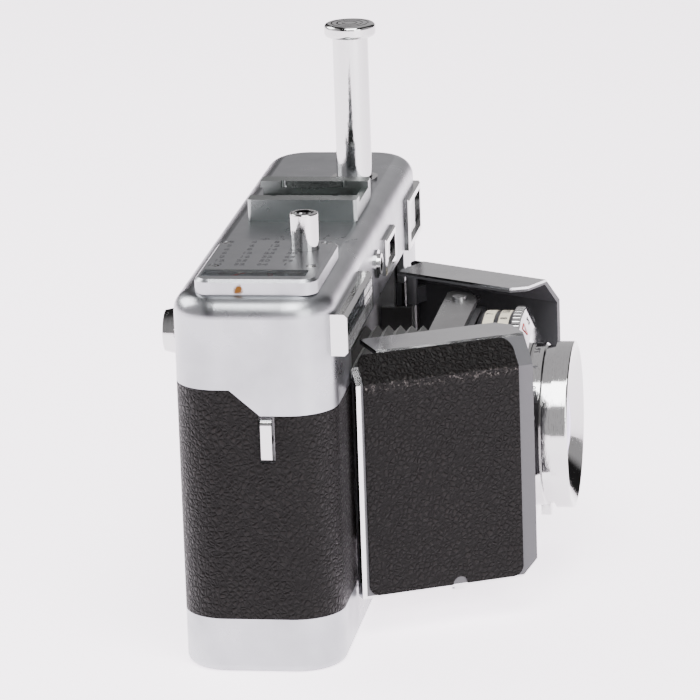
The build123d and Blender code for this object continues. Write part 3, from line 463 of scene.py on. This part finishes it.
def distance_scale():
    """Arc of plain numbers on the deck behind the meter plate."""
    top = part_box("top_housing")[1][2] + LIFT
    right, rear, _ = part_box("meter_plate")[1]
    centre = Vector((right + 0.0020, rear - 0.0164, top))
    entries = []
    ticks = bmesh.new()
    for i, text in enumerate(("3", "4", "5", "7", "10", "15", "30")):
        a = math.radians(-42 + 14 * i)
        out = Vector((math.cos(a), math.sin(a), 0.0))
        spin = Matrix.Rotation(a - math.pi / 2, 4, "Z")
        entries.append((text, 0.0019, Matrix.Translation(centre + 0.0138 * out) @ spin))
        bar = Matrix.Translation(centre + 0.0118 * out) @ Matrix.Rotation(a, 4, "Z")
        add_block(ticks, bar, (0.0012, 0.0002, 0.00004))
    numbers("deck_numbers", entries, INK, "chassis", "black_enamel")
    piece("deck_ticks", ticks, INK, "chassis", "black_enamel")


def shutter_bands():
    """Cream bands with plain numbers round the top of the shutter case."""
    lo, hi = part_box("shutter_housing")
    radius = hi[0] + LIFT
    ink_radius = radius + 0.0001
    bm = bmesh.new()
    for start in (0.00445, 0.00765):
        ys = (lo[1] + start, lo[1] + start + 0.0022)
        ring_strip(bm, radius, ys, (-52, 52), 0.00006)
    piece("shutter_bands", bm, CREAM, "lens", "scale_card")
    entries = []
    for i, text in enumerate(("22", "16", "11", "8", "5.6", "4", "2.8", "2")):
        entries.append((text, 0.0021, on_drum(ink_radius, lo[1] + 0.00555, -46 + 13 * i)))
    for i, text in enumerate(("3", "4", "5", "7", "10", "20", "40")):
        entries.append((text, 0.0021, on_drum(ink_radius, lo[1] + 0.00875, -44 + 14.6 * i)))
    numbers("shutter_numbers", entries, INK, "lens", "black_enamel")


def ring_numbers():
    """Speeds on the sloping face of the speed ring and stops on the aperture ring."""
    lo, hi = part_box("speed_ring")
    entries = []
    tilt = Matrix.Rotation(SPEED_FACE_TILT, 4, "X") @ Matrix.Translation((0, 0, 0.00005))
    for i, text in enumerate(("1", "2", "5", "10", "25", "50", "100", "250", "500")):
        entries.append((text, 0.0020, on_drum(hi[0] - 0.0024, lo[1] + 0.0008, -100 + 25 * i) @ tilt))
    numbers("speed_numbers", entries, INK, "speed", "black_enamel")
    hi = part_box("aperture_ring")[1]
    entries = []
    for i, text in enumerate(("2", "2.8", "4", "5.6", "8", "11", "16", "22")):
        entries.append((text, 0.0017, on_drum(hi[0] + LIFT, hi[1] - 0.0013, -70 + 20 * i)))
    numbers("aperture_numbers", entries, INK, "aperture", "black_enamel")


def red_marks():
    """Red index triangle and two red index bars."""
    lo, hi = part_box("speed_ring")
    bm = bmesh.new()
    frame_at = on_drum(hi[0] - 0.0023, lo[1] + 0.0008, -14) @ Matrix.Rotation(SPEED_FACE_TILT, 4, "X")
    corners = [Vector((-0.0011, 0.0011, 0)), Vector((0.0011, 0.0011, 0)), Vector((0, -0.0011, 0))]
    for a, b in zip(corners, corners[1:] + corners[:1]):
        middle = (a + b) / 2
        side = b - a
        turn = Matrix.Rotation(math.atan2(side.y, side.x), 4, "Z")
        place = frame_at @ Matrix.Translation(middle + Vector((0, 0, 0.00005))) @ turn
        add_block(bm, place, (side.length, 0.0003, 0.00005))
    piece("speed_index", bm, RED, "speed", "needle_red")
    lo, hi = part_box("shutter_housing")
    bm = bmesh.new()
    for angle in (-24, -16):
        add_block(bm, on_drum(hi[0] + 0.00006, lo[1] + 0.01025, angle), (0.0006, 0.0012, 0.00006))
    piece("case_index", bm, RED, "lens", "needle_red")


def round_rect(half_x, half_z, corner, inset, steps=5):
    """Points of a rounded rectangle round the lens axis."""
    points = []
    for quarter, (sx, sz) in enumerate(((1, 1), (-1, 1), (-1, -1), (1, -1))):
        for i in range(steps + 1):
            a = math.radians(90 * quarter + 90 * i / steps)
            x = sx * (half_x - corner) + (corner - inset) * math.cos(a)
            z = sz * (half_z - corner) + (corner - inset) * math.sin(a)
            points.append((x, z))
    return points


def bellows_skin():
    """Pleated cloth tunnel in place of the CAD bellows, which is hidden."""
    lo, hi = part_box("bellows")
    front, back = lo[1] + 0.0002, hi[1] - 0.0002
    half_x = (hi[0] - lo[0]) / 2 - 0.0003
    half_z = (hi[2] - lo[2]) / 2 - 0.0003
    middle = (hi[2] + lo[2]) / 2
    rows = 36
    thick = 0.0004
    bm = bmesh.new()
    skins = []
    for layer in (0.0, thick):
        loops = []
        for i in range(rows + 1):
            y = back + (front - back) * i / rows
            pleat = 0.0 if i % 2 else 0.0013
            outline = round_rect(half_x, half_z, 0.004, pleat + layer)
            loops.append([bm.verts.new((x, y, middle + z)) for x, z in outline])
        skins.append(loops)
        for a, b in zip(loops, loops[1:]):
            for i in range(len(a)):
                j = (i + 1) % len(a)
                bm.faces.new((a[i], a[j], b[j], b[i]))
    for end in (0, -1):
        outer, inner = skins[0][end], skins[1][end]
        for i in range(len(outer)):
            j = (i + 1) % len(outer)
            bm.faces.new((outer[i], outer[j], inner[j], inner[i]))
    bmesh.ops.recalc_face_normals(bm, faces=bm.faces[:])
    mesh = bpy.data.meshes.new("bellows_skin")
    bm.to_mesh(mesh)
    bm.free()
    mesh.materials.append(MATERIALS["bellows_cloth"])
    skin = bpy.data.objects.new("bellows_skin", mesh)
    bpy.context.collection.objects.link(skin)
    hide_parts("bellows")
    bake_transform(skin)


INK = printed("ink", (0.055, 0.055, 0.06))
CREAM = MATERIALS["scale_card"]
RED = MATERIALS["needle_red"]

meter_table()
distance_scale()
shutter_bands()
ring_numbers()
red_marks()
bellows_skin()


# ---- stage: floor, lights, camera ---------------------------------------
def floor():
    bpy.ops.mesh.primitive_plane_add(size=12.0, location=(2.0, 0.0, 0.0))
    plane = bpy.context.object
    plane.name = "floor"
    n = Nodes("floor")
    tone = n.mix(n.span(n.noise(6.0, 3.0), 0.3, 0.7, 0.0, 1.0), (0.93, 0.90, 0.925), (0.95, 0.925, 0.945))
    mat = n.finish(tone, 0.55, 0.0)
    n.bsdf.inputs["Emission Color"].default_value = (1.0, 0.90, 0.985, 1.0)
    n.bsdf.inputs["Emission Strength"].default_value = 3.0
    plane.data.materials.append(mat)


def area_light(name, place, target, size, power, tone=(1.0, 1.0, 1.0)):
    data = bpy.data.lights.new(name, "AREA")
    data.shape = "RECTANGLE"
    data.size, data.size_y = size
    data.energy = power
    data.color = tone
    light = bpy.data.objects.new(name, data)
    bpy.context.collection.objects.link(light)
    light.location = place
    aim = Vector(target) - Vector(place)
    light.rotation_euler = aim.to_track_quat("-Z", "Y").to_euler()
    return light


def studio():
    """Bright tent with two darker zones, so the plated parts show contrast."""
    world = bpy.data.worlds.new("studio")
    bpy.context.scene.world = world
    world.use_nodes = True
    tree = world.node_tree
    back = tree.nodes["Background"]
    coords = tree.nodes.new("ShaderNodeTexCoord")
    split = tree.nodes.new("ShaderNodeSeparateXYZ")
    ramp = tree.nodes.new("ShaderNodeValToRGB")
    shift = tree.nodes.new("ShaderNodeMapRange")
    tree.links.new(coords.outputs["Generated"], split.inputs["Vector"])
    shift.inputs["From Min"].default_value = -1.0
    shift.inputs["From Max"].default_value = 1.0
    tree.links.new(split.outputs["Y"], shift.inputs["Value"])
    tree.links.new(shift.outputs["Result"], ramp.inputs["Fac"])
    stops = ((0.0, 0.55), (0.09, 0.55), (0.13, 0.02), (0.27, 0.02), (0.33, 0.60),
             (0.56, 0.75), (0.62, 0.03), (0.74, 0.03), (0.82, 0.6))
    while len(ramp.color_ramp.elements) < len(stops):
        ramp.color_ramp.elements.new(0.5)
    for element, (place, level) in zip(ramp.color_ramp.elements, stops):
        element.position = place
        element.color = (level, 0.97 * level, 0.99 * level, 1.0)
    tree.links.new(ramp.outputs["Color"], back.inputs["Color"])
    back.inputs["Strength"].default_value = 1.0
    area_light("key", (-0.45, -0.15, 0.85), (0, 0, 0.04), (0.6, 0.6), 14.0)
    area_light("fill", (-0.7, -0.7, 0.35), (0, -0.02, 0.04), (0.5, 0.6), 6.0)
    area_light("rear", (0.2, 0.6, 0.5), (0, 0, 0.05), (0.5, 0.4), 5.0)


CAMERA_AT = (-0.981, -0.1647, 0.3211)
CAMERA_YAW = 0.1562          # turned from +X towards +Y, radians
CAMERA_PITCH = -0.2690
CAMERA_ROLL = -0.0337
CAMERA_LENS = 252.9          # on a 36 mm wide sensor


def photo_camera():
    yaw, pitch, roll = CAMERA_YAW, CAMERA_PITCH, CAMERA_ROLL
    ahead = Vector((math.cos(pitch) * math.cos(yaw), math.cos(pitch) * math.sin(yaw), math.sin(pitch)))
    right = ahead.cross(Vector((0, 0, 1))).normalized()
    up = right.cross(ahead)
    rolled_right = math.cos(roll) * right + math.sin(roll) * up
    rolled_up = math.cos(roll) * up - math.sin(roll) * right
    turn = Matrix((rolled_right, rolled_up, -ahead)).transposed().to_4x4()
    data = bpy.data.cameras.new("camera")
    data.lens = CAMERA_LENS
    data.sensor_width = 36.0
    data.shift_x = -1.8 / 700
    data.shift_y = 7.5 / 700
    data.clip_start = 0.01
    camera = bpy.data.objects.new("camera", data)
    bpy.context.collection.objects.link(camera)
    camera.matrix_world = Matrix.Translation(CAMERA_AT) @ turn
    bpy.context.scene.camera = camera


floor()
studio()
photo_camera()
